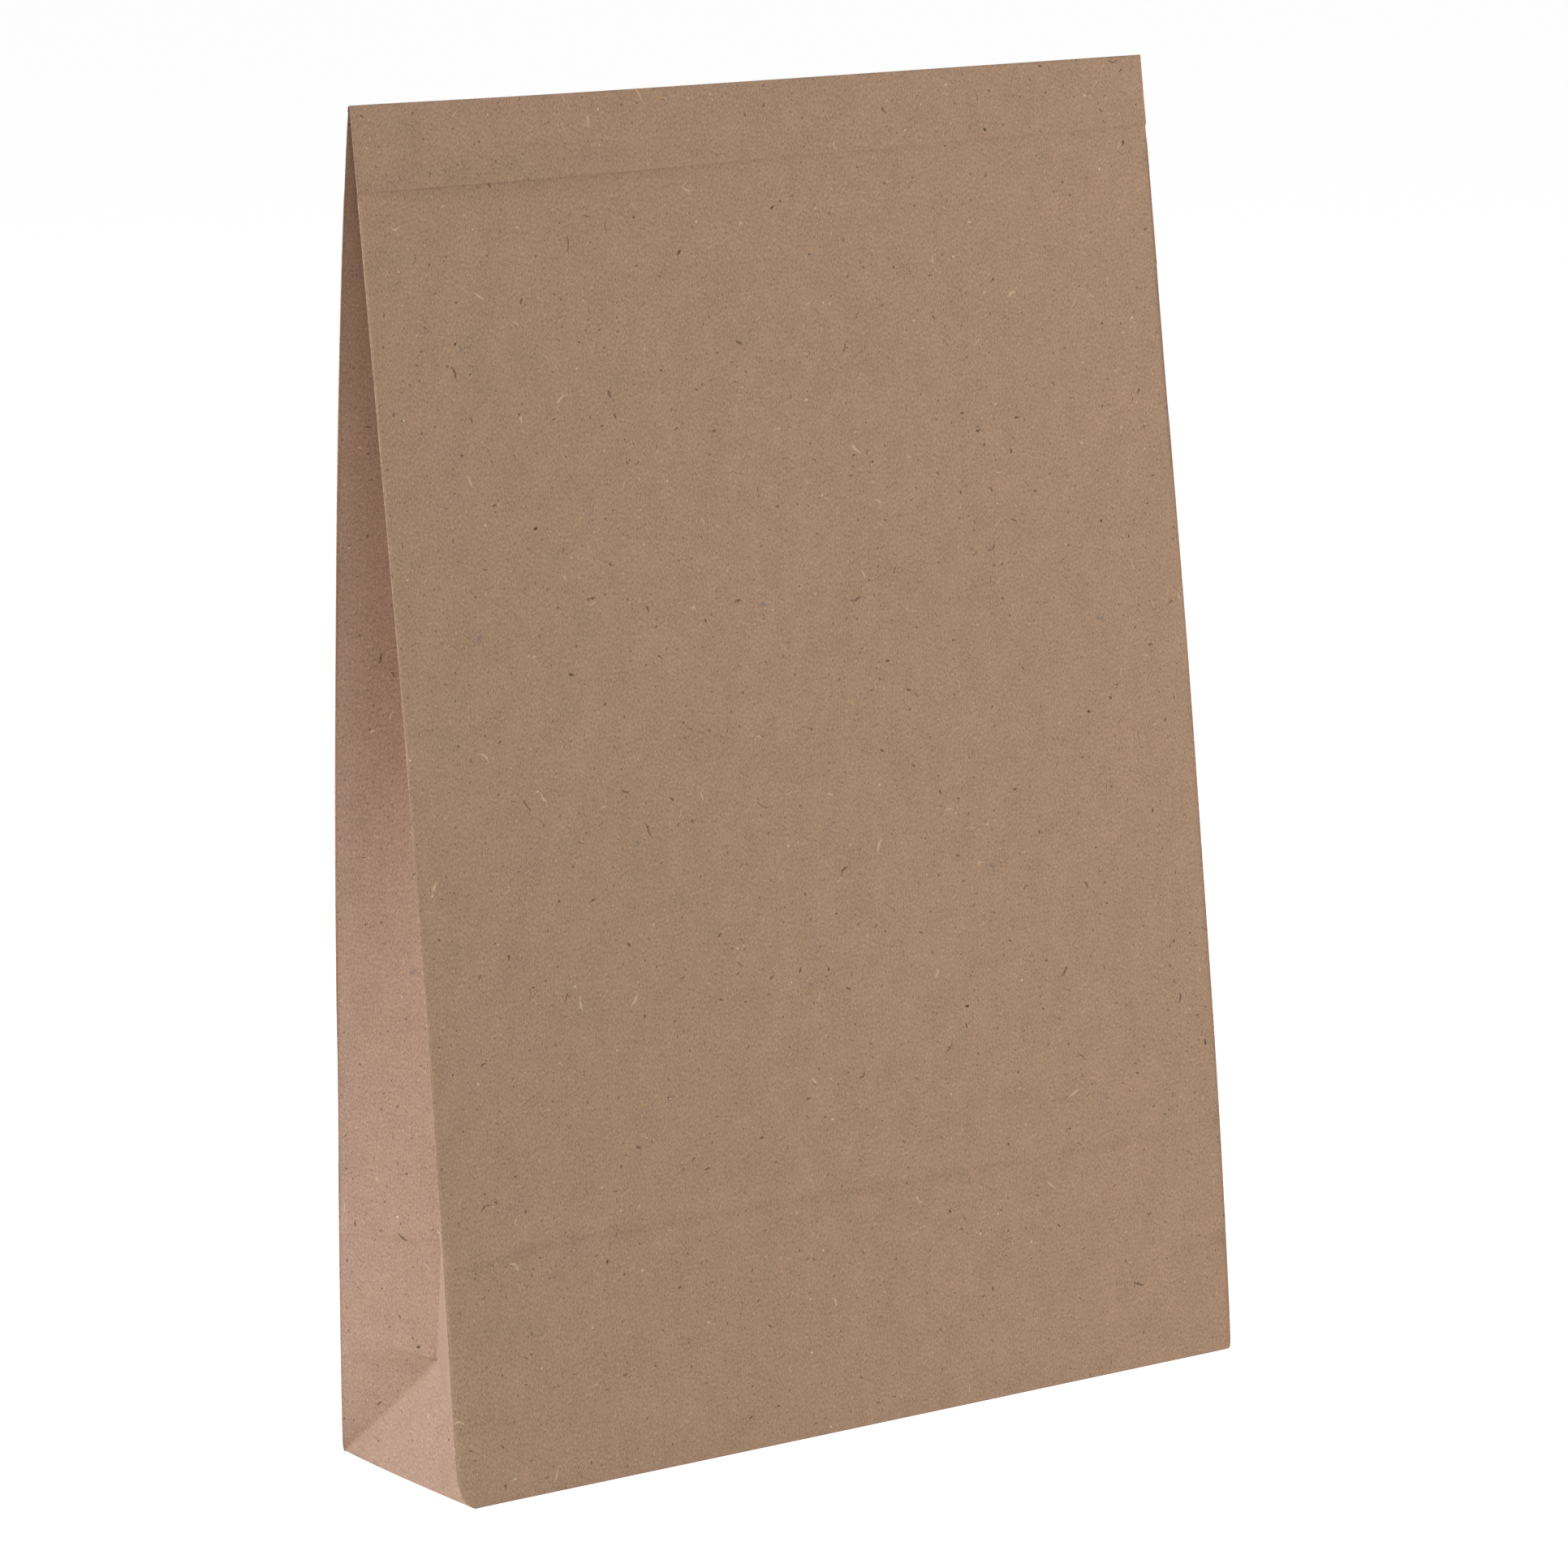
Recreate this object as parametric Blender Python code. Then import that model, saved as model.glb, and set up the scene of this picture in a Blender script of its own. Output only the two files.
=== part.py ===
"""Gusseted block-bottom mailing bag of brown kraft paper, closed and standing.

The bag is one folded and glued sheet: a front and a back panel, a gusset at each end that folds inwards,
a flat base of overlapping flaps, and a mouth flap that turns over the ridge and is stuck to the front.
It is shut on all sides, so it is modelled as the closed solid that the sheet encloses.
Units are metres. X runs across the bag, the front faces -Y, and the base stands on Z = 0.
"""
import math

import bmesh
import bpy
from mathutils import Vector

# Sheet and fold sizes
WIDTH = 0.300            # front panel, fold to fold
PANEL = 0.430            # base edge to ridge, measured along the paper
GUSSET = 0.077           # depth of the opened base, and width of each gusset laid flat
PAPER = 0.00018          # thickness of one layer
FLAP_LEFT = 0.0258       # how far the mouth flap reaches down the front at its left end
FLAP_RIGHT = 0.0222      # and at its right end, as it is folded a little aslant
SEAM_LAP = 0.020         # glued lap of the long seam down the back
SEAM_OFFSET = 0.035      # from the middle of the back to the seam's cut edge
BASE_LAP = 0.010         # how far each long base flap runs past the middle of the base
MOUTH_LAYERS = 4         # layers pressed together under the ridge
MOUTH_SEAL = 0.002       # height over which the gussets are pinched shut at the ridge

# Set of the opened bag
RIDGE_BACK = 0.0065      # the ridge stands this far behind the middle of the base
RIDGE_TWIST = 0.0030     # and its left end this much further back again
BACK_BOW = 0.0062        # outward bow of the back panel
RIGHT_BOW = 0.0034       # outward bow of the front panel at its right fold
CORNER_PULL = 0.0078     # inward pull of the front's left fold, just above the base
CORNER_FLARE = 0.0035    # height over which that fold flares back out to the base corner
PULL_HEIGHT = 0.250      # height at which the inward pull has died away
GUSSET_SLACK = 0.0065    # what the slack paper takes off a gusset's recess where it is open widest
BACK_DIP = 0.0020        # inward dip of the back panel at its lower crease

# How those bows and pulls are spread over the sheet, as powers of a share of its height or width
PULL_FADE_UP = 1.3       # how fast the inward pull dies away up the fold
PULL_FADE_ACROSS = 2.5   # and how fast it dies away across the front
RIGHT_BOW_UP = 0.7       # below 1, so the front's bow is greatest below the middle of its height
RIGHT_BOW_ACROSS = 1.5   # how fast that bow grows towards the right fold
BACK_BOW_UP = 1.25       # above 1, so the back's bow is greatest above the middle of its height
BACK_BOW_FULLNESS = 0.7  # below 1, so the back's bow is fuller than an even arc

# Fineness of the model
FLARE_ROWS = (0.6, 1.6, 4.0)   # rows of facets beside the base edge, in heights of the corner's flare
UPPER_ROWS = 7           # rows of facets between the upper crease and the flap
PANEL_COLUMNS = 6        # columns of facets across the front
COLUMN_CROWDING = 1.4    # above 1, so those columns are narrowest at the left, where the front is pulled in
SEAM_COLUMNS = 3         # columns of facets on each side of the back's seam
FACING = 0.9             # a facet faces a direction if the cosine between them is above this
TOUCH = 1e-6             # points nearer than this are one point

KRAFT = (0.352, 0.236, 0.158, 1.0)

# Heights along the paper at which the sheet is creased or turns
HALF = GUSSET / 2
LOWER_CREASE = HALF
UPPER_CREASE = GUSSET
FLAP_EDGE = PANEL - (FLAP_LEFT + FLAP_RIGHT) / 2
MOUTH = PANEL - MOUTH_SEAL
BASE_THICKNESS = 2 * PAPER
BASE_INSET = 2 * PAPER   # the long base flaps end this far inside the bag's ends
RISE = math.sqrt(PANEL ** 2 - HALF ** 2)
LEFT, RIGHT, FRONT, BACK = -1, 1, -1, 1


def along(start, end, share):
    return start + (end - start) * share


def share_of(length, whole):
    return min(1.0, max(0.0, length / whole))


def height(s):
    """Height of a point of a panel, s metres up the paper from the base."""
    return RISE * s / PANEL


def ridge_y(x):
    return RIDGE_BACK - RIDGE_TWIST * x / (WIDTH / 2)


def straight_y(x, face, s):
    """Depth of a panel pulled tight between the base edge and the ridge."""
    top = ridge_y(x) + face * MOUTH_LAYERS / 2 * PAPER
    return along(face * HALF, top, s / PANEL)


def front_y(x, s):
    """Depth of the front panel: pulled in at the lower left, bowed out at the right."""
    share = share_of(x + WIDTH / 2, WIDTH)
    fade = (1 - share_of(s, PULL_HEIGHT)) ** PULL_FADE_UP * (1 - share) ** PULL_FADE_ACROSS
    pull = CORNER_PULL * fade * (1 - math.exp(-s / CORNER_FLARE))
    bow = RIGHT_BOW * math.sin(math.pi * share_of(s, PANEL) ** RIGHT_BOW_UP) * share ** RIGHT_BOW_ACROSS
    return straight_y(x, FRONT, s) + pull - bow


def back_y(x, s):
    """Depth of the back panel: bowed out all over, and dipped at its lower crease."""
    bow = BACK_BOW * abs(math.sin(math.pi * share_of(s, PANEL) ** BACK_BOW_UP)) ** BACK_BOW_FULLNESS
    across = 1 - (2 * x / WIDTH) ** 2
    dip = BACK_DIP * across * math.exp(-abs(s - LOWER_CREASE) / LOWER_CREASE) * share_of(s, LOWER_CREASE)
    return straight_y(x, BACK, s) + bow - dip


def flap_edge(x):
    """Height along the paper of the mouth flap's cut edge."""
    return PANEL - along(FLAP_LEFT, FLAP_RIGHT, x / WIDTH + 0.5)


def front_point(x, s):
    """A point of the front; the flap lies on it as one more layer, ending in a square cut edge."""
    layer = PAPER if s > FLAP_EDGE else 0.0
    if abs(s - FLAP_EDGE) < PAPER:
        s = flap_edge(x)
    return Vector((x, front_y(x, s) - layer, height(s)))


def back_point(x, s):
    """A point of the back; the seam's outer edge is cut square and its lap fades out beneath."""
    beyond = x - SEAM_OFFSET
    layer = PAPER * (1 - share_of(beyond, SEAM_LAP)) if beyond > 0 else 0.0
    if abs(beyond) < PAPER:
        x = SEAM_OFFSET
    return Vector((x, back_y(x, s) + layer * share_of(PANEL - s, MOUTH_SEAL), height(s)))


def fold_point(side, face, s):
    """A point of one of the four upright folds."""
    x = side * WIDTH / 2
    return front_point(x, s) if face == FRONT else back_point(x, s)


def crease_point(side, s):
    """A point of a gusset's middle crease, above the apex of the base triangle."""
    x = side * WIDTH / 2
    if s > PANEL - TOUCH:
        return Vector((x, ridge_y(x), RISE))
    front, back = front_y(x, s), back_y(x, s)
    opening = back - front
    taut = math.sqrt(max(0.0, HALF ** 2 - (opening / 2) ** 2))
    recess = max(0.0, taut - GUSSET_SLACK * (opening / GUSSET) ** 2)
    return Vector((x - side * recess, (front + back) / 2, height(s)))


def apex_point(side):
    """The apex of the triangle that the opened base folds out of a gusset; it keeps its paper height."""
    apex = crease_point(side, LOWER_CREASE)
    recess = WIDTH / 2 - abs(apex.x)
    apex.z = math.sqrt(HALF ** 2 - recess ** 2)
    return apex


def gusset_point(side, y, s):
    """A point of a gusset: y is its place across the gusset laid flat, s its height along the paper."""
    face = FRONT if y < 0 else BACK
    out = abs(y) / HALF
    fold = fold_point(side, face, s)
    if s > LOWER_CREASE + TOUCH:
        return along(crease_point(side, s), fold, out)
    rise = s / LOWER_CREASE
    corner = fold_point(side, face, 0.0)
    diagonal = along(corner, apex_point(side), rise)
    if out > 1 - rise - TOUCH / HALF:
        return along(diagonal, fold, (out - 1 + rise) / rise)
    middle = along(Vector((corner.x, 0.0, 0.0)), apex_point(side), rise)
    return along(middle, diagonal, out / (1 - rise))


def faces_towards(bm, direction):
    return [face for face in bm.faces if face.normal.dot(Vector(direction)) > FACING]


def crease(bm, faces, point, normal):
    """Divides some faces of the uncreased block along a plane."""
    edges = {edge for face in faces for edge in face.edges}
    verts = {vert for face in faces for vert in face.verts}
    bmesh.ops.bisect_plane(bm, geom=[*faces, *edges, *verts], dist=TOUCH, plane_co=point, plane_no=normal)


def between(start, end, count):
    """The places that divide a stretch into so many equal parts."""
    return [along(start, end, part / count) for part in range(1, count)]


def crease_block(bm):
    """Creases a plain block along the lines where the sheet folds, turns or ends."""
    flare = [CORNER_FLARE * step for step in FLARE_ROWS]
    upper = between(UPPER_CREASE, FLAP_EDGE, UPPER_ROWS)
    flap = [FLAP_EDGE - PAPER / 2, FLAP_EDGE + PAPER / 2]
    for s in (*flare, LOWER_CREASE, UPPER_CREASE, *upper, *flap, MOUTH):
        crease(bm, bm.faces[:], (0, 0, s), (0, 0, 1))
    for share in between(0, 1, PANEL_COLUMNS):
        x = WIDTH * (share ** COLUMN_CROWDING - 0.5)
        crease(bm, faces_towards(bm, (0, FRONT, 0)), (x, 0, 0), (1, 0, 0))
    seam = [SEAM_OFFSET - PAPER / 2, SEAM_OFFSET + PAPER / 2, SEAM_OFFSET + SEAM_LAP]
    beside = between(-WIDTH / 2, seam[0], SEAM_COLUMNS) + between(seam[-1], WIDTH / 2, SEAM_COLUMNS)
    for x in seam + beside:
        crease(bm, faces_towards(bm, (0, BACK, 0)), (x, 0, 0), (1, 0, 0))
    for side in (LEFT, RIGHT):
        crease(bm, faces_towards(bm, (side, 0, 0)), (0, 0, 0), (0, 1, 0))
        for face in (FRONT, BACK):
            lower_corner = [
                flat for flat in faces_towards(bm, (side, 0, 0))
                if flat.calc_center_median().y * face > 0 and flat.calc_center_median().z < LOWER_CREASE
            ]
            crease(bm, lower_corner, (0, face * HALF, 0), (0, face, 1))


def set_up(bm):
    """Moves every point of the creased block to where the folded paper stands."""
    for vert in bm.verts:
        x, y, s = vert.co
        if abs(y) < HALF - TOUCH:
            vert.co = gusset_point(LEFT if x < 0 else RIGHT, y, s)
        elif y < 0:
            vert.co = front_point(x, s)
        else:
            vert.co = back_point(x, s)
        vert.co.z += BASE_THICKNESS


def new_object(name, bm, collection):
    mesh = bpy.data.meshes.new(name)
    bm.to_mesh(mesh)
    bm.free()
    obj = bpy.data.objects.new(name, mesh)
    collection.objects.link(obj)
    return obj


def paper_block(collection):
    """The space that the standing bag encloses, down to the inner layer of its base."""
    bm = bmesh.new()
    bmesh.ops.create_cube(bm, size=1.0)
    bmesh.ops.scale(bm, verts=bm.verts, vec=(WIDTH, GUSSET, PANEL))
    bmesh.ops.translate(bm, verts=bm.verts, vec=(0, 0, PANEL / 2))
    crease_block(bm)
    set_up(bm)
    bmesh.ops.triangulate(bm, faces=[face for face in bm.faces if len(face.verts) == 4])
    return new_object("paper_bag", bm, collection)


def base_flap(name, face, bottom, collection):
    """A long flap of the base: mitred from its fold to the middle of the base, then square to its edge."""
    depth = HALF - PAPER + BASE_LAP
    thickness = BASE_THICKNESS + PAPER - bottom
    bm = bmesh.new()
    bmesh.ops.create_cube(bm, size=1.0)
    bmesh.ops.scale(bm, verts=bm.verts, vec=(WIDTH - 2 * BASE_INSET, depth, thickness))
    centre = (0, face * (HALF - PAPER - depth / 2), bottom + thickness / 2)
    bmesh.ops.translate(bm, verts=bm.verts, vec=centre)
    crease(bm, bm.faces[:], (0, 0, 0), (0, 1, 0))
    for vert in bm.verts:
        if vert.co.y * face < TOUCH:
            vert.co.x = math.copysign(WIDTH / 2 - HALF, vert.co.x)
    flap = new_object(name, bm, collection)
    flap.display_type = "WIRE"
    flap.hide_render = True
    return flap


def add_union(bag, flap):
    union = bag.modifiers.new(flap.name, "BOOLEAN")
    union.operation = "UNION"
    union.solver = "EXACT"
    union.object = flap


def kraft_paper():
    material = bpy.data.materials.new("kraft_paper")
    material.use_nodes = True
    shader = material.node_tree.nodes["Principled BSDF"]
    shader.inputs["Base Color"].default_value = KRAFT
    shader.inputs["Roughness"].default_value = 0.88
    shader.inputs["Metallic"].default_value = 0.0
    return material


def new_collection(name):
    collection = bpy.data.collections.new(name)
    bpy.context.scene.collection.children.link(collection)
    return collection


for old in list(bpy.data.objects):
    bpy.data.objects.remove(old, do_unlink=True)

parts = new_collection("paper_bag")
tools = new_collection("base_flaps")
bag = paper_block(parts)
bag.data.materials.append(kraft_paper())
add_union(bag, base_flap("inner_base_flap", FRONT, PAPER, tools))
add_union(bag, base_flap("outer_base_flap", BACK, 0.0, tools))
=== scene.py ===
"""A closed mailing bag of brown kraft paper, standing on a pale studio floor.

Metres, +Z up. X runs across the bag, and its front faces -Y.
"""
import math

import bpy
import numpy as np
from mathutils import Matrix, Vector


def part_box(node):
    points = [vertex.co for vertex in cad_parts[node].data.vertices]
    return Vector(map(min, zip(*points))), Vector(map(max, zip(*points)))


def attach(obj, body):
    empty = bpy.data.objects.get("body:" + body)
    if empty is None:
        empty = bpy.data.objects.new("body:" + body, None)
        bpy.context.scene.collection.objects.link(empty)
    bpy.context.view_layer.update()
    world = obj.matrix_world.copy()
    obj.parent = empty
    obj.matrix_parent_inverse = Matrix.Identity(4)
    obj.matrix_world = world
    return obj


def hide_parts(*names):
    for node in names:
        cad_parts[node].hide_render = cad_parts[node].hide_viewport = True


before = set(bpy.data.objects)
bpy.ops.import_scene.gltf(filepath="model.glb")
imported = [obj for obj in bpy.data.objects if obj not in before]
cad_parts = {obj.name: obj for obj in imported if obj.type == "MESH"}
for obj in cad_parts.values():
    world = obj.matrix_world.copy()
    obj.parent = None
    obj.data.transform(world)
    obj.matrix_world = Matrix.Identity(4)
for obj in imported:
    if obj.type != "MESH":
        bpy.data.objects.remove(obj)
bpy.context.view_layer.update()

# The folded sheet
# One sheet of brown recycled kraft, folded round into a tube with a gusset at each end, lapped and glued
# down the back, and folded in below to a flat base. It is shut all round, so its skin is one closed form.
PAPER = 0.00018          # one layer
GUSSET = 0.077           # depth of the opened base, and width of a gusset laid flat
SEAM_LAP = 0.020         # glued lap of the seam down the back
SEAM_OFFSET = 0.035      # from the middle of the back to the seam's cut edge
SEAM_LIFT = 0.00030      # how far that edge stands off the layer under it
SEAM_GLUE = 0.0030       # and how far in from the edge the glue begins
MOUTH_LAYERS = 4         # layers pressed together under the ridge
RIDGE_BACK = 0.0065      # the ridge stands this far behind the middle of the base
RIDGE_TWIST = 0.0030     # and its left end this much further back again
BACK_BOW = 0.0062        # outward bow of the back
BACK_BOW_UP = 1.25       # above 1, so that bow is greatest above the middle of its height
BACK_BOW_FULLNESS = 0.7  # below 1, so it is fuller than an even arc
BACK_DIP = 0.0020        # inward dip of the back at its lower crease
RIGHT_BOW = 0.0034       # outward bow of the front at its right fold
RIGHT_BOW_UP = 0.7       # below 1, so that bow is greatest below the middle of its height
RIGHT_BOW_ACROSS = 1.5   # how fast it grows towards the right fold
CORNER_PULL = 0.0078     # pull of the front's left fold out of the straight, just above the base
CORNER_FLARE = 0.0035    # height over which that fold flares back out to the base corner
PULL_HEIGHT = 0.250      # height at which the pull has died away
PULL_FADE_UP = 1.3       # how fast it dies away up the fold
PULL_FADE_ACROSS = 2.5   # and across the front
SHIFT_FADE_ACROSS = 8    # how fast the fold's sideways stand dies away across the front
GUSSET_SLACK = 0.0065    # what slack paper takes off a gusset's recess where it is open widest
GUSSET_BOW = 0.0008      # inward bow of each half of a gusset
BOW_FADE_BELOW = 0.120   # height over which that bow sets in above the lower crease
BOW_FADE_ABOVE = 0.200   # and over which it dies away under the ridge
GUSSET_DENT = 0.0065     # depth of the dent in the back half of each gusset, straight inwards
DENT_ACROSS = 0.6        # it sets in over this share of the way from the back's fold to the middle crease
DENT_HEIGHT = 0.258      # height at which it is deepest
DENT_BELOW = 0.060       # how far it reaches down
DENT_ABOVE = 0.080       # and up
DIAGONAL_SAG = 0.0032    # how far a gusset's back diagonal fold hangs inwards
SAG_FROM_CORNER = 0.3    # a small power, so that hang sets in at once above the base corner
SAG_TO_APEX = 0.35       # and lasts nearly up to the apex
APEX_BLEND = 0.030       # height over which the middle crease comes down to the apex of the base's triangle
TURN_HEIGHT = 0.120      # below this the front's left fold stands out sideways rather than back
SIDEWAYS = 0.70          # how far it then stands out, as a share of the pull back that it is spared
CREASE_DEPTH = 0.00065   # how far a soft crease stands out on a gusset, or in on the front and the back
CREASE_ABOVE = 0.0045    # above it the paper comes back gently, over this height
CREASE_BELOW = 0.0018    # and below it steeply
CREASE_DROP = 0.0030     # how far the upper soft crease runs low at the front's left end
DROP_WIDTH = 0.014       # over this width beside the left fold it runs as low as that
DROP_FADE = 0.022        # and over this width it comes back up
CREASE_FADE = 0.0040     # how far from an upright fold a soft crease dies away
LOWER_CREASE = 0.0370    # height of the lower soft crease, at a gusset's middle
LOWER_SLANT = 0.087      # how fast it runs down towards the back
LOWER_REACH = 0.034      # how far it runs on across the front from the right fold
LOWER_FADE = 0.012       # width over which its end dies away there
CORNER_LIFT = 0.0018     # the back left corner of the base stands off the floor
CORNER_REACH = 0.035     # how far that lift reaches
RIPPLE = 0.00025         # slow waves in the flat paper
RIPPLE_WAVES = ((31, 13), (-17, 38))  # radians to the metre across the sheet and up it
FRONT_PHASE, BACK_PHASE = 0.6, 2.1    # where those waves begin on the front and on the back
FOLD_RADIUS = 0.00040    # how tightly the sheet turns at a fold
FOLD_BEAD = 0.00022      # how far the sheet's thickness stands out along an upright fold
BEAD_TOP = 0.0262        # that stops this far below the ridge, at the mouth flap
BEAD_FADE_BELOW = 0.002  # height over which it sets in above the base
BEAD_FADE_ABOVE = 0.003  # and over which it dies away at the flap
FOLD_STEPS = (0.0, 0.00013, 0.00026, 0.0004, 0.0006, 0.0011)  # the mesh's lines beside a fold
FOLD_ZONE = 0.0020       # its even spacing begins this far from the fold
GUSSET_SPACING = 0.0013  # that spacing across a gusset
PANEL_SPACING = 0.0027   # across the front and the back
LOWER_SPACING = 0.0018   # up the paper, below the upper soft crease
CREASE_SPACING = 0.0006  # beside that crease
UPPER_SPACING = 0.0038   # and above it
CREASE_ZONE = 0.009      # how far above and below that crease the rows lie close
# and how far in from the base edge the rows under the base lie
TURNED_IN = (0.032, 0.022, 0.014, 0.008, 0.004, 0.002, 0.0011, 0.0006, 0.00036, 0.00024, 0.00012)
SAME_PLACE = 1e-7        # places nearer than this are one
NOT_NOUGHT = 1e-12       # the least that anything is divided by
FRONT, BACK, LEFT, RIGHT = -1, 1, -1, 1

bag_low, bag_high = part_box("paper_bag")
base_z = 2 * PAPER
width = bag_high.x - bag_low.x
half = GUSSET / 2
rise = bag_high.z - base_z
panel = math.hypot(rise, half)
round_the_bag = 2 * (width + GUSSET)
seam_at = width + GUSSET + width / 2 - SEAM_OFFSET


def along(start, end, share):
    return start + (end - start) * share


def share_of(length, whole):
    return np.clip(length / whole, 0.0, 1.0)


def eased(share):
    share = np.clip(share, 0.0, 1.0)
    return share * share * (3 - 2 * share)


def ridge_y(x):
    return RIDGE_BACK - RIDGE_TWIST * x / (width / 2)


def straight_y(x, face, s):
    """Depth of a panel pulled tight from the base edge to the ridge, s metres up the paper."""
    top = ridge_y(x) + face * MOUTH_LAYERS / 2 * PAPER
    return along(face * half, top, s / panel)


def crease_at(s, height, from_fold):
    """How far the paper stands out along a soft crease, which dies away beside the upright folds."""
    reach = np.where(s > height, CREASE_ABOVE, CREASE_BELOW)
    return CREASE_DEPTH * np.exp(-((s - height) / reach) ** 2) * eased(from_fold / CREASE_FADE)


def soft_crease(x, s):
    """The creases that the flat-packed base has left across the front and the back."""
    from_fold = width / 2 - np.abs(x)
    left_end = 1 - eased((x + width / 2 - DROP_WIDTH) / DROP_FADE)
    right_end = eased((LOWER_REACH - (width / 2 - x)) / LOWER_FADE)
    upper = crease_at(s, GUSSET - CREASE_DROP * left_end, from_fold)
    return upper + right_end * crease_at(s, LOWER_CREASE, from_fold)


def ripple(x, s, phase):
    """Slow waves over the front or the back, which die away at the base edge and at the ridge."""
    waves = sum(np.sin(across * x + up * s + number * phase)
                for number, (across, up) in enumerate(RIPPLE_WAVES, 1))
    return RIPPLE * waves * np.sin(math.pi * share_of(s, panel))


def corner_pull(s):
    """How far the front's left fold is pulled out of the straight."""
    return CORNER_PULL * (1 - share_of(s, PULL_HEIGHT)) ** PULL_FADE_UP * (1 - np.exp(-s / CORNER_FLARE))


def front_y(x, s):
    """Depth of the front: pulled in at its lower left, bowed out at its right."""
    share = share_of(x + width / 2, width)
    pull = corner_pull(s) * (1 - share) ** PULL_FADE_ACROSS
    bow = RIGHT_BOW * np.sin(math.pi * share_of(s, panel) ** RIGHT_BOW_UP) * share ** RIGHT_BOW_ACROSS
    return straight_y(x, FRONT, s) + pull - bow


def back_y(x, s):
    """Depth of the back: bowed out all over, and dipped at the crease that the folded base left."""
    bow = BACK_BOW * np.abs(np.sin(math.pi * share_of(s, panel) ** BACK_BOW_UP)) ** BACK_BOW_FULLNESS
    across = 1 - (2 * x / width) ** 2
    dip = BACK_DIP * across * np.exp(-np.abs(s - half) / half) * share_of(s, half)
    return straight_y(x, BACK, s) + bow - dip


def points(x, y, z):
    return np.stack(np.broadcast_arrays(x, y, z), axis=-1).astype(float)


def front_points(x, s):
    """The front. Just above the base its left fold stands out sideways, in the flat of the front."""
    share = share_of(x + width / 2, width)
    spared = corner_pull(s) * (1 - eased(s / TURN_HEIGHT))
    x = x - SIDEWAYS * spared * (1 - share) ** SHIFT_FADE_ACROSS
    return points(x, front_y(x, s) - spared * (1 - share) ** PULL_FADE_ACROSS, rise * s / panel)


def back_points(x, s):
    return points(x, back_y(x, s), rise * s / panel)


def fold_points(side, face, s):
    """The four upright folds."""
    x = side * width / 2
    return np.where((face == FRONT)[..., None], front_points(x, s), back_points(x, s))


def crease_points(side, s):
    """The middle crease of a gusset: the wider the gusset stands open, the less it is drawn in."""
    x = side * width / 2
    front, back = front_y(x, s), back_y(x, s)
    opening = back - front
    taut = np.sqrt(np.clip(half ** 2 - (opening / 2) ** 2, 0.0, None))
    recess = np.clip(taut - GUSSET_SLACK * (opening / GUSSET) ** 2, 0.0, None)
    recess = np.where(s > panel - SAME_PLACE, 0.0, recess)
    return points(x - side * recess, (front + back) / 2, rise * s / panel)


def apex_points(side):
    """The tip of the triangle that the opened base folds out of a gusset."""
    apex = crease_points(side, half)
    recess = width / 2 - np.abs(apex[..., 0])
    apex[..., 2] = np.sqrt(half ** 2 - recess ** 2)
    return apex


def dent(out, s):
    """Depth of the dent in a gusset's back half, out being the share of the way to the back's fold."""
    reach = np.where(s > DENT_HEIGHT, DENT_ABOVE, DENT_BELOW)
    across = eased((1 - out) / DENT_ACROSS) * eased(out / (1 - DENT_ACROSS))
    return GUSSET_DENT * across * np.exp(-((s - DENT_HEIGHT) / reach) ** 2)


def gusset_points(side, q, s):
    """A gusset, q metres across it from its middle crease, with the triangle that the base folds out."""
    face = np.where(q < 0, FRONT, BACK)
    out = np.abs(q) / half
    fold = fold_points(side, face, s)
    apex = apex_points(side)
    crease = crease_points(side, s)
    crease[..., 2] -= (rise * half / panel - apex[..., 2]) * (1 - eased((s - half) / APEX_BLEND))
    upper = along(crease, fold, out[..., None])
    bow = GUSSET_BOW * eased((s - half) / BOW_FADE_BELOW) * eased((panel - s) / BOW_FADE_ABOVE)
    upper[..., 0] -= side * (bow * np.sin(math.pi * out) + dent(out, s) * (face == BACK))
    climb = share_of(s, half)
    corner = fold_points(side, face, 0.0 * s)
    diagonal = along(corner, apex, climb[..., None])
    hang = DIAGONAL_SAG * climb ** SAG_FROM_CORNER * (1 - climb) ** SAG_TO_APEX
    diagonal[..., 0] -= side * hang * (face == BACK)
    outer_share = (out - 1 + climb) / np.maximum(climb, NOT_NOUGHT)
    outer = along(diagonal, fold, outer_share[..., None])
    middle = along(points(corner[..., 0], 0.0, 0.0), apex, climb[..., None])
    inner_share = out / np.maximum(1 - climb, NOT_NOUGHT)
    inner = along(middle, diagonal, inner_share[..., None])
    lower = np.where((out > 1 - climb)[..., None], outer, inner)
    return np.where((s > half)[..., None], upper, lower)


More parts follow.
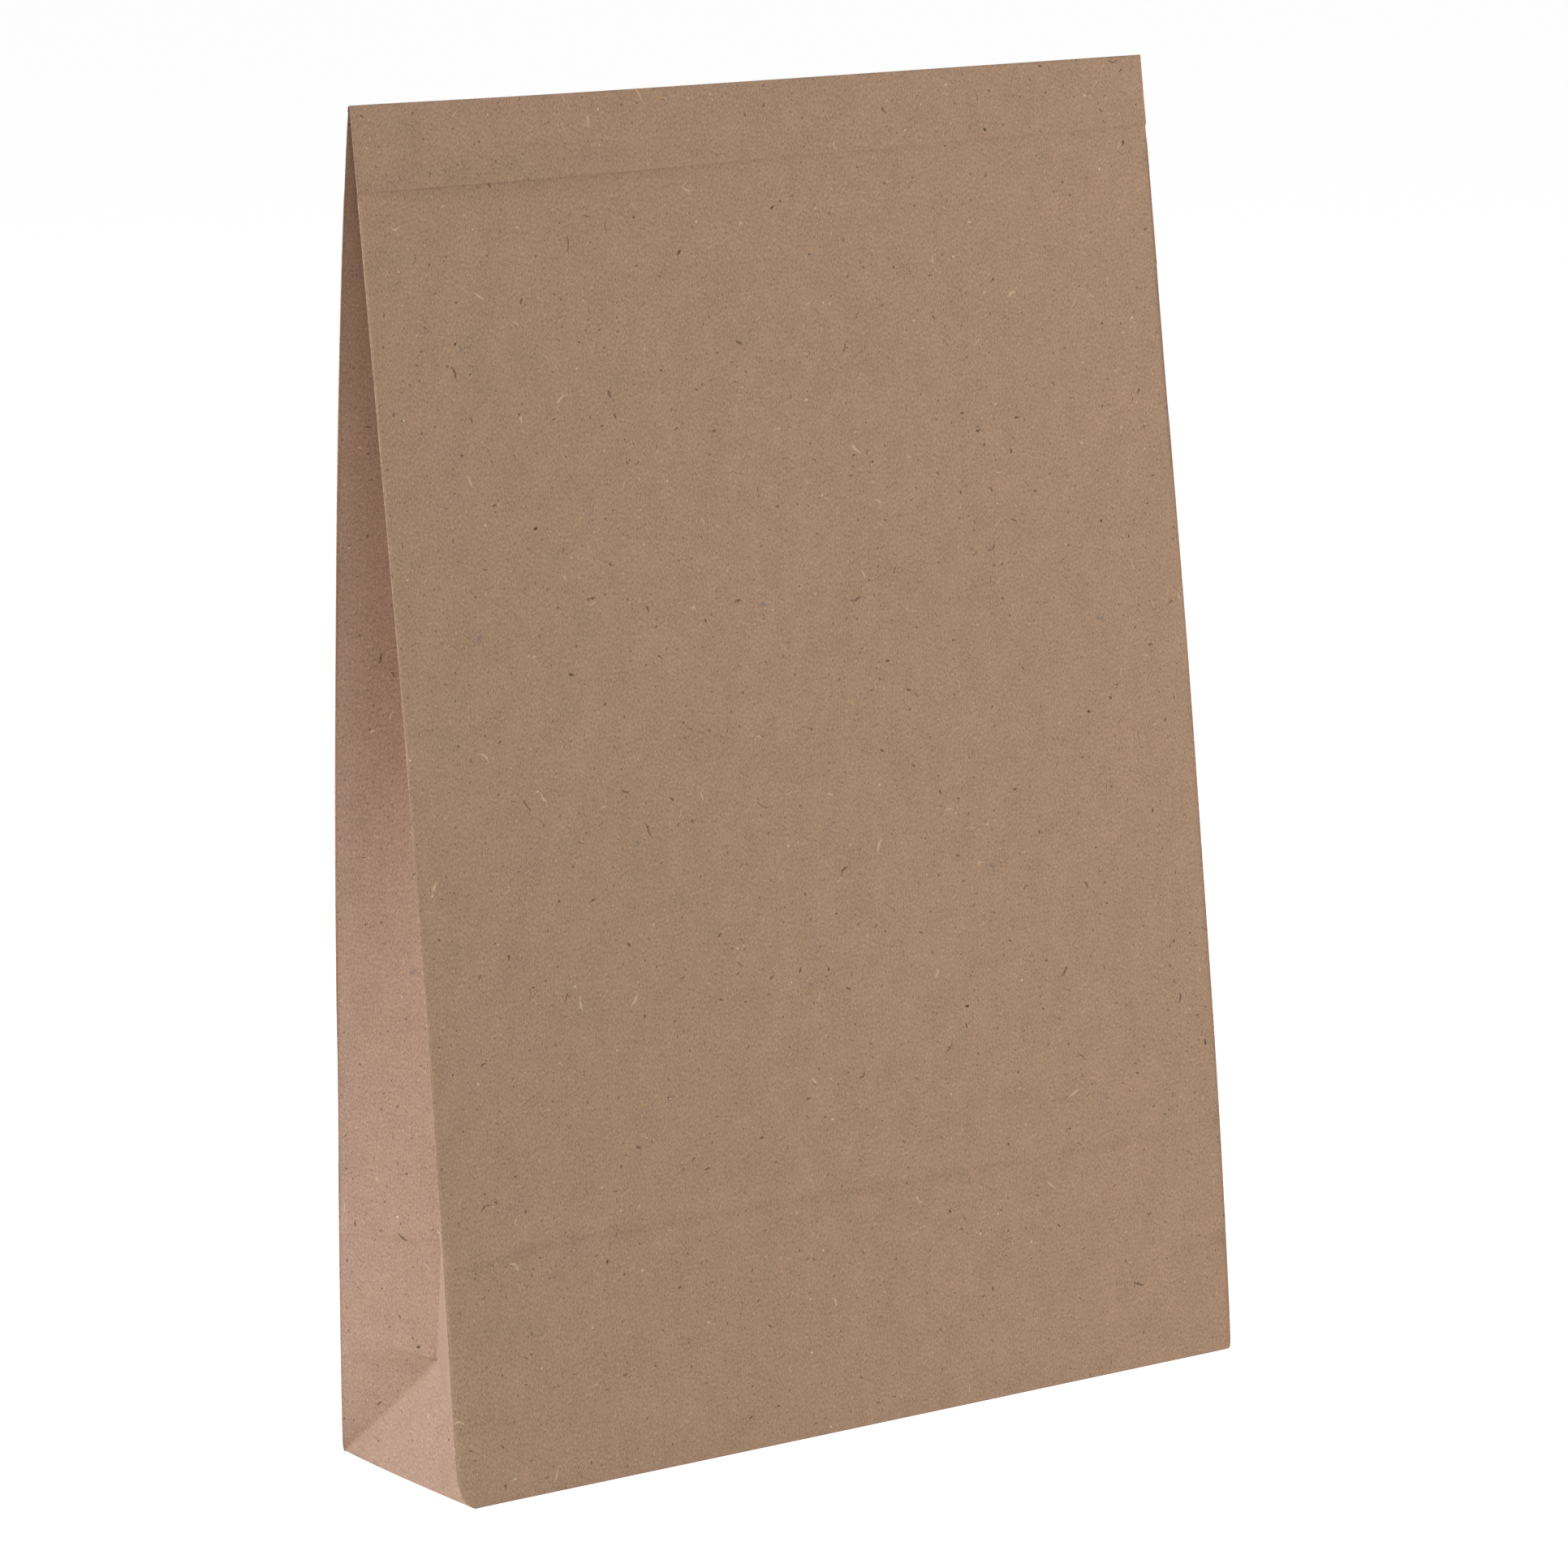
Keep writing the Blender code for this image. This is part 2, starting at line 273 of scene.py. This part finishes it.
def sharp_points(u, s):
    """The folded sheet with sharp folds: u metres round the bag from the front's left fold, s metres up."""
    u, s = np.broadcast_arrays(u % round_the_bag, s)
    up = np.clip(s, 0.0, panel)
    front_x = np.clip(u, 0.0, width) - width / 2
    back_x = width / 2 - np.clip(u - width - GUSSET, 0.0, width)
    front, back = front_points(front_x, up), back_points(back_x, up)
    front[..., 1] += soft_crease(front_x, up) - ripple(front_x, up, FRONT_PHASE)
    back[..., 1] -= soft_crease(back_x, up) - ripple(back_x, up, BACK_PHASE)
    on_right = (u > width) & (u < width + GUSSET)
    side = np.where(on_right, RIGHT, LEFT)
    q = np.where(on_right, u - width - half, round_the_bag - half - u)
    q = np.clip(q, -half, half)
    gusset = gusset_points(side, q, up)
    from_fold = half - np.abs(q)
    gusset[..., 0] += side * crease_at(up, GUSSET - CREASE_DROP, from_fold)
    lower_crease = crease_at(up, LOWER_CREASE - LOWER_SLANT * q, from_fold)
    gusset[..., 0] += side * lower_crease * eased(q / CREASE_FADE)
    made = np.where((u <= width)[..., None], front, gusset)
    made = np.where(((u >= width + GUSSET) & (u <= 2 * width + GUSSET))[..., None], back, made)
    inset = np.clip(-s, 0.0, None)
    made[..., 0] *= 1 - inset / (width / 2)
    made[..., 1] *= 1 - inset / half
    return made


def rounded_points(u, s):
    """The same sheet with its folds rounded, by a weighted mean over a fold's radius each way."""
    steps = ((-1.0, 1), (-0.5, 2), (0.0, 3), (0.5, 2), (1.0, 1))
    total = 0.0
    for step_u, weight_u in steps:
        for step_s, weight_s in steps:
            near = sharp_points(u + step_u * FOLD_RADIUS, s + step_s * FOLD_RADIUS)
            total = total + weight_u * weight_s * near
    return total / sum(weight for _, weight in steps) ** 2


def settled(made):
    """Sets a piece down: on the layers of the base, with the back left corner a little off the floor."""
    made = np.array(made, float)
    away = np.hypot(made[..., 0] + width / 2, made[..., 1] - half)
    made[..., 2] += base_z + CORNER_LIFT * np.exp(-away / CORNER_REACH)
    return made


def outward(grid):
    """Directions square to a tube of points whose columns run round it."""
    round_it = np.roll(grid, -1, axis=1) - np.roll(grid, 1, axis=1)
    square = np.cross(round_it, np.gradient(grid, axis=0))
    return square / np.maximum(np.linalg.norm(square, axis=-1, keepdims=True), NOT_NOUGHT)


def places(start, end, spacing):
    """Places from start to end: close together beside both ends, where the sheet turns, and even between."""
    beside = np.array(FOLD_STEPS)
    first, last = start + FOLD_ZONE, end - FOLD_ZONE
    middle = np.linspace(first, last, max(2, round((last - first) / spacing) + 1))
    return np.concatenate((start + beside, middle, end - beside[::-1]))


def run_on(*stretches):
    """Stretches of places put end to end, without the places that two of them share."""
    joined = np.concatenate(stretches)
    return joined[np.concatenate(([True], np.diff(joined) > SAME_PLACE))]


def grid_faces(rows, columns, wrap, lean):
    """Faces of a grid of points. Each corner is (row, column); lean says which way a face is cut in two."""
    faces = []
    for row in range(rows - 1):
        for column in range(columns if wrap else columns - 1):
            near, beside = (row, column), (row, column + 1)
            above, across = (row + 1, column), (row + 1, column + 1)
            if lean(row, column) > 0:
                faces += [(near, beside, across), (near, across, above)]
            elif lean(row, column) < 0:
                faces += [(near, beside, above), (beside, across, above)]
            else:
                faces.append((near, beside, across, above))
    return faces


def new_piece(name, verts, faces, uvs):
    """A smooth-shaded mesh object, with the flat sheet's own metres as its UV map, facing outwards."""
    mesh = bpy.data.meshes.new(name)
    mesh.from_pydata([tuple(vert) for vert in verts], [], faces)
    layer = mesh.uv_layers.new(name="flat_sheet")
    layer.uv.foreach_set("vector", np.array(uvs, np.float32).ravel())
    mesh.polygons.foreach_set("use_smooth", [True] * len(mesh.polygons))
    mesh.update()
    piece = bpy.data.objects.new(name, mesh)
    bpy.context.scene.collection.objects.link(piece)
    return piece


def bag_skin():
    """The tube of the bag from under its base to its ridge, closed below and above."""
    across = run_on(places(0.0, half, GUSSET_SPACING), places(half, GUSSET, GUSSET_SPACING))
    below, above = GUSSET - CREASE_ZONE, GUSSET + CREASE_ZONE
    up = run_on(
        -np.array(TURNED_IN),
        across[across <= half],
        places(half, below, LOWER_SPACING)[:-len(FOLD_STEPS)],
        np.arange(below, above, CREASE_SPACING),
        places(above, panel, UPPER_SPACING)[len(FOLD_STEPS):],
    )
    back_left = width / 2 + SEAM_OFFSET
    left_fold = seam_at + back_left
    u = run_on(
        seam_at + places(0.0, back_left, PANEL_SPACING),
        left_fold + across,
        left_fold + GUSSET + places(0.0, width, PANEL_SPACING),
        left_fold + GUSSET + width + across,
        left_fold + 2 * GUSSET + width + places(0.0, width - back_left, PANEL_SPACING),
    )
    grid = rounded_points(u[None, :], up[:, None])
    to_seam = seam_at + round_the_bag - u
    lap = PAPER * share_of(SEAM_LAP - to_seam, SEAM_LAP) + SEAM_LIFT * eased(1 - to_seam / SEAM_GLUE)
    grid[..., 1] += lap[None, :] * (up[:, None] > 0)
    place = (u - seam_at - back_left) % (width + GUSSET)
    from_fold = np.minimum(np.abs(place - GUSSET), np.minimum(place, width + GUSSET - place))
    bead = FOLD_BEAD * np.exp(-(from_fold[None, :] / FOLD_RADIUS) ** 2)
    lasting = eased(up / BEAD_FADE_BELOW) * eased((panel - BEAD_TOP - up) / BEAD_FADE_ABOVE)
    bead = bead * lasting[:, None]
    grid = settled(grid + bead[..., None] * outward(grid))

    def lean(row, column):
        if not 0 <= up[row] < half - SAME_PLACE or place[column] > GUSSET - SAME_PLACE:
            return 0
        return 1 if place[column] < half - SAME_PLACE else -1

    rows, columns = len(up), len(u)
    flat_u = np.append(u, seam_at + round_the_bag)
    faces, uvs = [], []
    for corners in grid_faces(rows, columns, True, lean):
        faces.append([row * columns + column % columns for row, column in corners])
        uvs += [(flat_u[column], up[row]) for row, column in corners]
    faces.append(list(range(columns))[::-1])
    uvs += [tuple(grid[0, column, :2]) for column in range(columns)][::-1]
    faces.append([(rows - 1) * columns + column for column in range(columns)])
    uvs += [tuple(grid[-1, column, :2]) for column in range(columns)]
    return new_piece("folded_sheet", grid.reshape(-1, 3), faces, uvs)


def put(tree, kind, inputs=None, **settings):
    """Adds a shader node. Each input is a socket to link or a plain value."""
    made = tree.nodes.new("ShaderNode" + kind)
    for name, value in settings.items():
        setattr(made, name, value)
    for name, value in (inputs or {}).items():
        if isinstance(value, bpy.types.NodeSocket):
            tree.links.new(value, made.inputs[name])
        else:
            made.inputs[name].default_value = value
    return made.outputs


def maths(tree, kind, *values):
    """Adds a maths node, each value a socket to link or a number."""
    return put(tree, "Math", dict(enumerate(values)), operation=kind)[0]


FLECK_SHORTEST = 0.35    # a fleck is from this to 1 and this times as long as its kind's length
FLECK_THINNEST = 0.5     # and its breadth goes likewise
FLECK_SOLID = 0.12       # a fleck is solid out to this, the square of the share of its length or breadth
FLECK_GONE = 0.34        # and has ended at this
PLUMP_DIGITS = 17.0      # its breadth comes from further digits of the chance that turns it
BENT_DIGITS = 13.0       # and its bend from those of the chance that sets its length


def fleck_group():
    """Scatters flecks: at most one in each cell of a loose pattern, each turned its own way."""
    tree = bpy.data.node_groups.new("flecks", "ShaderNodeTree")
    tree.interface.new_socket("Place", in_out="INPUT", socket_type="NodeSocketVector")
    for name in ("Spacing", "Length", "Breadth", "Share", "Turn", "Curl", "Ragged", "Seed"):
        tree.interface.new_socket(name, in_out="INPUT", socket_type="NodeSocketFloat")
    tree.interface.new_socket("Fleck", in_out="OUTPUT", socket_type="NodeSocketFloat")
    given = tree.nodes.new("NodeGroupInput").outputs
    shift = put(tree, "CombineXYZ", {"X": given["Seed"], "Y": given["Seed"], "Z": 0.0})["Vector"]
    place = put(tree, "VectorMath", {0: given["Place"], 1: shift}, operation="ADD")["Vector"]
    scale = maths(tree, "DIVIDE", 1.0, given["Spacing"])
    pattern = put(tree, "TexVoronoi", {"Vector": place, "Scale": scale}, voronoi_dimensions="2D")
    chance = put(tree, "TexWhiteNoise", {"Vector": pattern["Position"]}, noise_dimensions="2D")
    shares = put(tree, "SeparateColor", {"Color": chance["Color"]})
    away = put(tree, "VectorMath", {0: place, 1: pattern["Position"]}, operation="SUBTRACT")["Vector"]
    angle = maths(tree, "MULTIPLY", maths(tree, "SUBTRACT", shares["Red"], 0.5), given["Turn"])
    turned = put(tree, "VectorRotate", {"Vector": away, "Angle": angle}, rotation_type="Z_AXIS")["Vector"]
    turned = put(tree, "SeparateXYZ", {"Vector": turned})
    plump = maths(tree, "FRACT", maths(tree, "MULTIPLY", shares["Red"], PLUMP_DIGITS))
    bent = maths(tree, "FRACT", maths(tree, "MULTIPLY", shares["Green"], BENT_DIGITS))
    bent = maths(tree, "SUBTRACT", bent, 0.5)
    length = maths(tree, "MULTIPLY", given["Length"], maths(tree, "ADD", shares["Green"], FLECK_SHORTEST))
    breadth = maths(tree, "MULTIPLY", given["Breadth"], maths(tree, "ADD", plump, FLECK_THINNEST))
    along_it = maths(tree, "DIVIDE", turned["Y"], length)
    squared = maths(tree, "MULTIPLY", along_it, along_it)
    curl = maths(tree, "MULTIPLY", squared, maths(tree, "MULTIPLY", given["Curl"], bent))
    beside = maths(tree, "DIVIDE", maths(tree, "ADD", turned["X"], curl), breadth)
    reach = maths(tree, "ADD", squared, maths(tree, "MULTIPLY", beside, beside))
    reach = maths(tree, "ADD", reach, given["Ragged"])
    body = put(tree, "MapRange", {"Value": reach, "From Min": FLECK_SOLID, "From Max": FLECK_GONE,
                                  "To Min": 1.0, "To Max": 0.0}, interpolation_type="SMOOTHSTEP")["Result"]
    there = maths(tree, "LESS_THAN", shares["Blue"], given["Share"])
    shown = maths(tree, "MULTIPLY", body, there)
    out = tree.nodes.new("NodeGroupOutput")
    tree.links.new(shown, out.inputs["Fleck"])
    return tree


ANY_WAY = 6.3            # radians: flecks of a kind that lie in all directions
FLECKS = (
    # colour, strength, seed, spacing where all are there, share that is there, length, breadth, turn, curl
    ((0.115, 0.070, 0.042), 0.65, 0.11, 0.0060, 0.55, 0.00085, 0.00046, ANY_WAY, 0.0),     # fine dark specks
    ((0.100, 0.058, 0.034), 0.75, 0.37, 0.0130, 0.45, 0.00140, 0.00050, 3.0, 0.0),         # bark
    ((0.060, 0.035, 0.022), 0.85, 0.53, 0.0400, 0.45, 0.00150, 0.00080, ANY_WAY, 0.0),     # black grit
    ((0.180, 0.105, 0.062), 0.50, 0.71, 0.0100, 0.45, 0.00320, 0.00020, ANY_WAY, 0.0024),  # brown hairs
    ((0.640, 0.500, 0.370), 0.45, 0.93, 0.0140, 0.40, 0.00230, 0.00030, ANY_WAY, 0.0012),  # pale fibres
    ((0.720, 0.600, 0.480), 0.65, 1.17, 0.0170, 0.40, 0.00070, 0.00050, ANY_WAY, 0.0),     # white bits
    ((0.560, 0.320, 0.110), 0.55, 1.39, 0.0450, 0.40, 0.00160, 0.00080, ANY_WAY, 0.0),     # straw
    ((0.170, 0.160, 0.165), 0.50, 1.61, 0.0700, 0.40, 0.00260, 0.00130, ANY_WAY, 0.0),     # grey scrap
    ((0.120, 0.070, 0.045), 0.75, 1.83, 0.0300, 0.40, 0.00360, 0.00060, ANY_WAY, 0.0060),  # dark slivers
    ((0.720, 0.550, 0.360), 0.50, 2.03, 0.0320, 0.35, 0.00350, 0.00065, ANY_WAY, 0.0060),  # pale slivers
)
FIBRES = (
    # breadth and length of a grain, seed, turn from upright, how far it lightens and darkens the paper
    (0.00025, 0.0011, 8.1, -0.5, 0.46),
    (0.00024, 0.0010, 9.7, 0.06, 0.46),
    (0.00025, 0.0011, 11.3, 0.62, 0.46),
    (0.0036, 0.0056, 5.9, 0.0, 0.09),    # tufts of them
    (0.0100, 0.0130, 4.3, 0.3, 0.09),    # and wider clouds
)
GRAIN_SWING = 0.20       # how far the finest grain lightens and darkens the paper
RAGGED_SWING = 0.9       # how far it frays the flecks' edges


def kraft_paper():
    """Recycled kraft: warm brown clouded with pink and green, short crossing fibres and scattered flecks."""
    material = bpy.data.materials.new("kraft_paper")
    material.use_nodes = True
    tree = material.node_tree
    shader = tree.nodes["Principled BSDF"]
    sheet = put(tree, "UVMap", uv_map="flat_sheet")["UV"]

    def noise(across, up, detail, seed, turn=0.0):
        """Noise with grains so many metres across and up the sheet, from 0 to 1 about 0.5."""
        turned = sheet
        if turn:
            turned = put(tree, "VectorRotate", {"Vector": sheet, "Angle": turn}, rotation_type="Z_AXIS")
            turned = turned["Vector"]
        scaled = put(tree, "Mapping", {"Vector": turned, "Location": (seed, seed, 0.0),
                                       "Scale": (1 / across, 1 / up, 1.0)})["Vector"]
        return put(tree, "TexNoise", {"Vector": scaled, "Scale": 1.0, "Detail": detail, "Roughness": 1.0},
                   noise_dimensions="2D")["Fac"]

    def swing(value, amount):
        """A noise from 0 to 1, made to swing about nought by amount from end to end."""
        return maths(tree, "MULTIPLY", maths(tree, "SUBTRACT", value, 0.5), amount)

    def mix(factor, under, over):
        """One colour over the other, each a socket or three numbers."""
        under, over = ((*paint, 1.0) if isinstance(paint, tuple) else paint for paint in (under, over))
        return put(tree, "Mix", {"Factor": factor, 6: under, 7: over}, data_type="RGBA")[2]

    def blend(value, low, high):
        """From one colour to the other as a noise goes from its usual lows to its usual highs."""
        share = put(tree, "MapRange", {"Value": value, "From Min": 0.35, "From Max": 0.65}, clamp=True)
        return mix(share["Result"], low, high)

    clouds = noise(across=0.030, up=0.045, detail=1.0, seed=3.7)
    colour = blend(clouds, (0.388, 0.253, 0.169), (0.399, 0.255, 0.176))
    patches = noise(across=0.0050, up=0.0070, detail=1.0, seed=6.1)
    tint = blend(patches, (0.995, 1.004, 0.991), (1.007, 0.997, 1.007))
    colour = put(tree, "VectorMath", {0: colour, 1: tint}, operation="MULTIPLY")["Vector"]
    grain = noise(across=0.00070, up=0.0010, detail=1.0, seed=1.3)
    light = maths(tree, "ADD", 1.0, swing(grain, GRAIN_SWING))
    for across, up, seed, turn, amount in FIBRES:
        light = maths(tree, "ADD", light, swing(noise(across, up, 0.0, seed, turn), amount))
    colour = put(tree, "VectorMath", {0: colour, "Scale": light}, operation="SCALE")["Vector"]
    ragged = swing(grain, RAGGED_SWING)
    scatter = fleck_group()
    for fleck_colour, strength, seed, spacing, share, length, breadth, turn, curl in FLECKS:
        fleck = put(tree, "Group", None, node_tree=scatter)
        group = fleck[0].node
        tree.links.new(sheet, group.inputs["Place"])
        tree.links.new(ragged, group.inputs["Ragged"])
        for name, value in (("Spacing", spacing), ("Length", length), ("Breadth", breadth), ("Share", share),
                            ("Turn", turn), ("Curl", curl), ("Seed", seed)):
            group.inputs[name].default_value = value
        colour = mix(maths(tree, "MULTIPLY", fleck["Fleck"], strength), colour, fleck_colour)
    tree.links.new(colour, shader.inputs["Base Color"])
    bump = put(tree, "Bump", {"Height": grain, "Strength": 0.35, "Distance": 0.00008})["Normal"]
    tree.links.new(bump, shader.inputs["Normal"])
    shader.inputs["Roughness"].default_value = 0.9
    shader.inputs["Specular IOR Level"].default_value = 0.25
    return material


kraft = kraft_paper()
sheet = bag_skin()
sheet.data.materials.append(kraft)
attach(sheet, "root")
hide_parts("paper_bag")

# The mouth flap
# The end of the sheet, one layer thick, turned over the ridge and stuck down on the front. It is folded
# a little aslant, so it is deeper at the left, and its cut edge stands off the front where no glue holds it.
FLAP_LEFT = 0.0258       # its depth at the left
FLAP_RIGHT = 0.0222      # and at the right
FLAP_TAIL = 0.0015       # how far behind the crest it starts
FLAP_GLUED = 0.62        # share of its depth that is stuck down
FLAP_GAP = 0.00110       # how far its cut edge stands off where it stands off most
GAP_AT = -0.095          # that place, across the bag
GAP_REACH = 0.060        # how far the gap reaches to each side of it
GAP_FADE = 0.020         # width over which the gap sets in from the left fold
LEAST_GAP = 0.00012      # what stands off all along the cut edge
GLUE = 0.00002           # the gap where it is stuck down
FLAP_SPACING = 0.0030    # spacing of the mesh's lines across it
FLAP_ROWS = 0.06         # and of its rows on the front, as a share of its depth
TAIL_ROWS, TURN_ROWS = 6, 13  # rows behind the crest and round it


def front_skin_y(x, s):
    """Depth of the front's outer face."""
    return front_y(x, s) + soft_crease(x, s) - ripple(x, s, FRONT_PHASE)


def plate(name, outer, inner, flat):
    """A thin closed plate between two grids of points of the same size."""
    rows, columns = outer.shape[:2]
    number = {}
    verts = []
    for layer, grid in enumerate((outer, inner)):
        for row in range(rows):
            for column in range(columns):
                number[layer, row, column] = len(verts)
                verts.append(grid[row, column])
    rim = [(0, column) for column in range(columns)]
    rim += [(row, columns - 1) for row in range(1, rows)]
    rim += [(rows - 1, column) for column in range(columns - 2, -1, -1)]
    rim += [(row, 0) for row in range(rows - 2, 0, -1)]
    faces, uvs = [], []
    for corners in grid_faces(rows, columns, False, lambda row, column: 0):
        faces.append([number[0, row, column] for row, column in corners])
        uvs += [tuple(flat[row, column]) for row, column in corners]
        faces.append([number[1, row, column] for row, column in reversed(corners)])
        uvs += [tuple(flat[row, column]) for row, column in reversed(corners)]
    for near, far in zip(rim, rim[1:] + rim[:1]):
        faces.append([number[0, *far], number[0, *near], number[1, *near], number[1, *far]])
        uvs += [tuple(flat[far]), tuple(flat[near]), tuple(flat[near]), tuple(flat[far])]
    return new_piece(name, verts, faces, uvs)


def flap_plate():
    """The flap from its tail behind the crest, over the ridge and down the front to its cut edge."""
    x = places(-width / 2, width / 2, FLAP_SPACING)[None, :]
    depth = along(FLAP_LEFT, FLAP_RIGHT, x / width + 0.5)
    stack = MOUTH_LAYERS / 2 * PAPER
    outer, inner, flat = [], [], []
    for share in np.linspace(0.0, 1.0, TAIL_ROWS):
        s = panel - FLAP_TAIL * (1 - share)
        y = back_y(x, s) + ripple(x, s, BACK_PHASE)
        outer.append(points(x, y + share * PAPER, rise * s / panel))
        inner.append(points(x, y - (1 - share) * GLUE, rise * s / panel))
        flat.append(points(-x, s, 0.0))
    for angle in np.linspace(0.0, math.pi, TURN_ROWS)[1:-1]:
        for made, radius in ((outer, stack + PAPER), (inner, stack)):
            made.append(points(x, ridge_y(x) + radius * math.cos(angle), rise + radius * math.sin(angle)))
        flat.append(points(-x, panel + angle * stack, 0.0))
    gap = FLAP_GAP * np.exp(-((x - GAP_AT) / GAP_REACH) ** 2)
    lift = gap * eased((x + width / 2) / GAP_FADE) + LEAST_GAP
    for share in run_on(places(0.0, 1.0, FLAP_ROWS)):
        s = panel - depth * share
        y = front_skin_y(x, s) - GLUE - lift * eased((share - FLAP_GLUED) / (1 - FLAP_GLUED))
        inner.append(points(x, y, rise * s / panel))
        outer.append(points(x, y - PAPER, rise * s / panel))
        flat.append(points(-x, panel + math.pi * stack + depth * share, 0.0))
    outer, inner = (settled(np.concatenate(rows)) for rows in (outer, inner))
    return plate("mouth_flap", outer, inner, np.concatenate(flat)[..., :2])


flap = flap_plate()
flap.data.materials.append(kraft)
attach(flap, "root")

# The base flaps
# The two long flaps of the base, mitred at both ends, folded in under the bag and glued one over the other.
BASE_LAP = 0.010         # how far each flap runs past the middle of the base
LAP_STEP = 0.004         # width over which the outer flap rises beyond the inner one's edge
LAP_RISE = 0.9           # how far it rises there, in layers
FLAP_LINES, FLAP_CUTS = 61, 26  # the mesh's lines along a flap and across it


def base_flap(name, face, bottom):
    """A flap that turns in from the front's or the back's base edge, bottom metres off the floor."""
    rows = np.linspace(half - PAPER, -BASE_LAP, FLAP_CUTS)[:, None]
    reach = width / 2 - 2 * PAPER - (half - PAPER - np.clip(rows, 0.0, None))
    x = np.linspace(-1.0, 1.0, FLAP_LINES)[None, :] * reach
    y = face * rows
    top = bottom + PAPER
    if bottom == 0.0:
        top = top + LAP_RISE * PAPER * eased((rows - BASE_LAP) / LAP_STEP)
    under, over = points(x, y, bottom - base_z), points(x, y, top - base_z - GLUE)
    return plate(name, settled(under), settled(over), points(x, y, 0.0)[..., :2])


for name, face, bottom in (("inner_base_flap", FRONT, PAPER), ("outer_base_flap", BACK, 0.0)):
    base = base_flap(name, face, bottom)
    base.data.materials.append(kraft)
    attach(base, "root")

# The floor, the light and the camera
# A wide white studio floor that glows, with a cool soft light behind on the left, a warm one in front on the
# right and a weaker one overhead. The camera stands where the photograph was taken from.
FLOOR_REACH = 40.0       # metres to each side
FLOOR_COLOUR = (0.3, 0.3, 0.3, 1.0)
FLOOR_GLOW = 0.95
WORLD_GLOW = 0.1
WHITE = (1.0, 1.0, 1.0, 1.0)

floor_mesh = bpy.data.meshes.new("floor")
floor_corners = [(x * FLOOR_REACH, y * FLOOR_REACH, 0) for x, y in ((-1, -1), (1, -1), (1, 1), (-1, 1))]
floor_mesh.from_pydata(floor_corners, [], [(0, 1, 2, 3)])
floor = bpy.data.objects.new("floor", floor_mesh)
bpy.context.scene.collection.objects.link(floor)
floor_paint = bpy.data.materials.new("floor_paint")
floor_paint.use_nodes = True
paint = floor_paint.node_tree
paint_shader = paint.nodes["Principled BSDF"]
paint_shader.inputs["Base Color"].default_value = FLOOR_COLOUR
paint_shader.inputs["Roughness"].default_value = 1.0
paint_shader.inputs["Emission Color"].default_value = WHITE
paint_shader.inputs["Emission Strength"].default_value = FLOOR_GLOW
clear = put(paint, "BsdfTransparent")["BSDF"]
from_below = put(paint, "NewGeometry")["Backfacing"]
one_sided = put(paint, "MixShader", {0: from_below, 1: paint_shader.outputs[0], 2: clear})["Shader"]
paint.links.new(one_sided, paint.nodes["Material Output"].inputs["Surface"])
floor_mesh.materials.append(floor_paint)

world = bpy.data.worlds.new("studio")
world.use_nodes = True
world.node_tree.nodes["Background"].inputs["Color"].default_value = WHITE
world.node_tree.nodes["Background"].inputs["Strength"].default_value = WORLD_GLOW
bpy.context.scene.world = world
bpy.context.scene.view_settings.view_transform = "Standard"


def direction(azimuth, elevation):
    """From the bag towards a place so many degrees round from the front, to the right, and so many up."""
    turn, tilt = math.radians(azimuth), math.radians(elevation)
    return Vector((math.sin(turn) * math.cos(tilt), -math.cos(turn) * math.cos(tilt), math.sin(tilt)))


def soft_light(name, azimuth, elevation, distance, size, power, colour):
    """A square area light aimed at the middle of the bag: metres, watts."""
    light = bpy.data.lights.new(name, "AREA")
    light.size = size
    light.energy = power
    light.color = colour
    lamp = bpy.data.objects.new(name, light)
    away = direction(azimuth, elevation)
    lamp.location = Vector((0, 0, rise / 2)) + away * distance
    lamp.rotation_euler = away.to_track_quat("Z", "Y").to_euler()
    bpy.context.scene.collection.objects.link(lamp)


soft_light("left_light", -104, 35, distance=1.6, size=0.9, power=30.0, colour=(0.837, 0.872, 1.0))
soft_light("right_light", 75, 9, distance=1.6, size=0.9, power=27.0, colour=(1.0, 0.970, 0.800))
soft_light("top_light", 0, 88, distance=2.6, size=1.8, power=14.0, colour=(1.0, 1.0, 1.0))

CAMERA_AZIMUTH = -35.0674  # degrees, as the next two
CAMERA_ELEVATION = 10.186
CAMERA_ROLL = -1.1344
CAMERA_DISTANCE = 2.1114
CAMERA_LENS = 151.34     # millimetres
CAMERA_SENSOR = 36.0     # millimetres across
NEAREST, FARTHEST = 0.05, 200.0  # what the camera sees, in metres from it
AIM_RIGHT = -0.0003      # the point aimed at lies this far to the right of the bag's middle in the picture
AIM_UP = -0.0094         # and this far above it

turn, roll = math.radians(CAMERA_AZIMUTH), math.radians(CAMERA_ROLL)
away = direction(CAMERA_AZIMUTH, CAMERA_ELEVATION)
level = Vector((math.cos(turn), math.sin(turn), 0.0))
upright = away.cross(level)
right = level * math.cos(roll) + upright * math.sin(roll)
above = upright * math.cos(roll) - level * math.sin(roll)
aim = Vector((0, 0, rise / 2)) + right * AIM_RIGHT + above * AIM_UP
camera_data = bpy.data.cameras.new("camera")
camera_data.sensor_width = CAMERA_SENSOR
camera_data.lens = CAMERA_LENS
camera_data.clip_start, camera_data.clip_end = NEAREST, FARTHEST
camera = bpy.data.objects.new("camera", camera_data)
facing = Matrix((right, above, away)).transposed().to_4x4()
camera.matrix_world = Matrix.Translation(aim + away * CAMERA_DISTANCE) @ facing
bpy.context.scene.collection.objects.link(camera)
bpy.context.scene.camera = camera
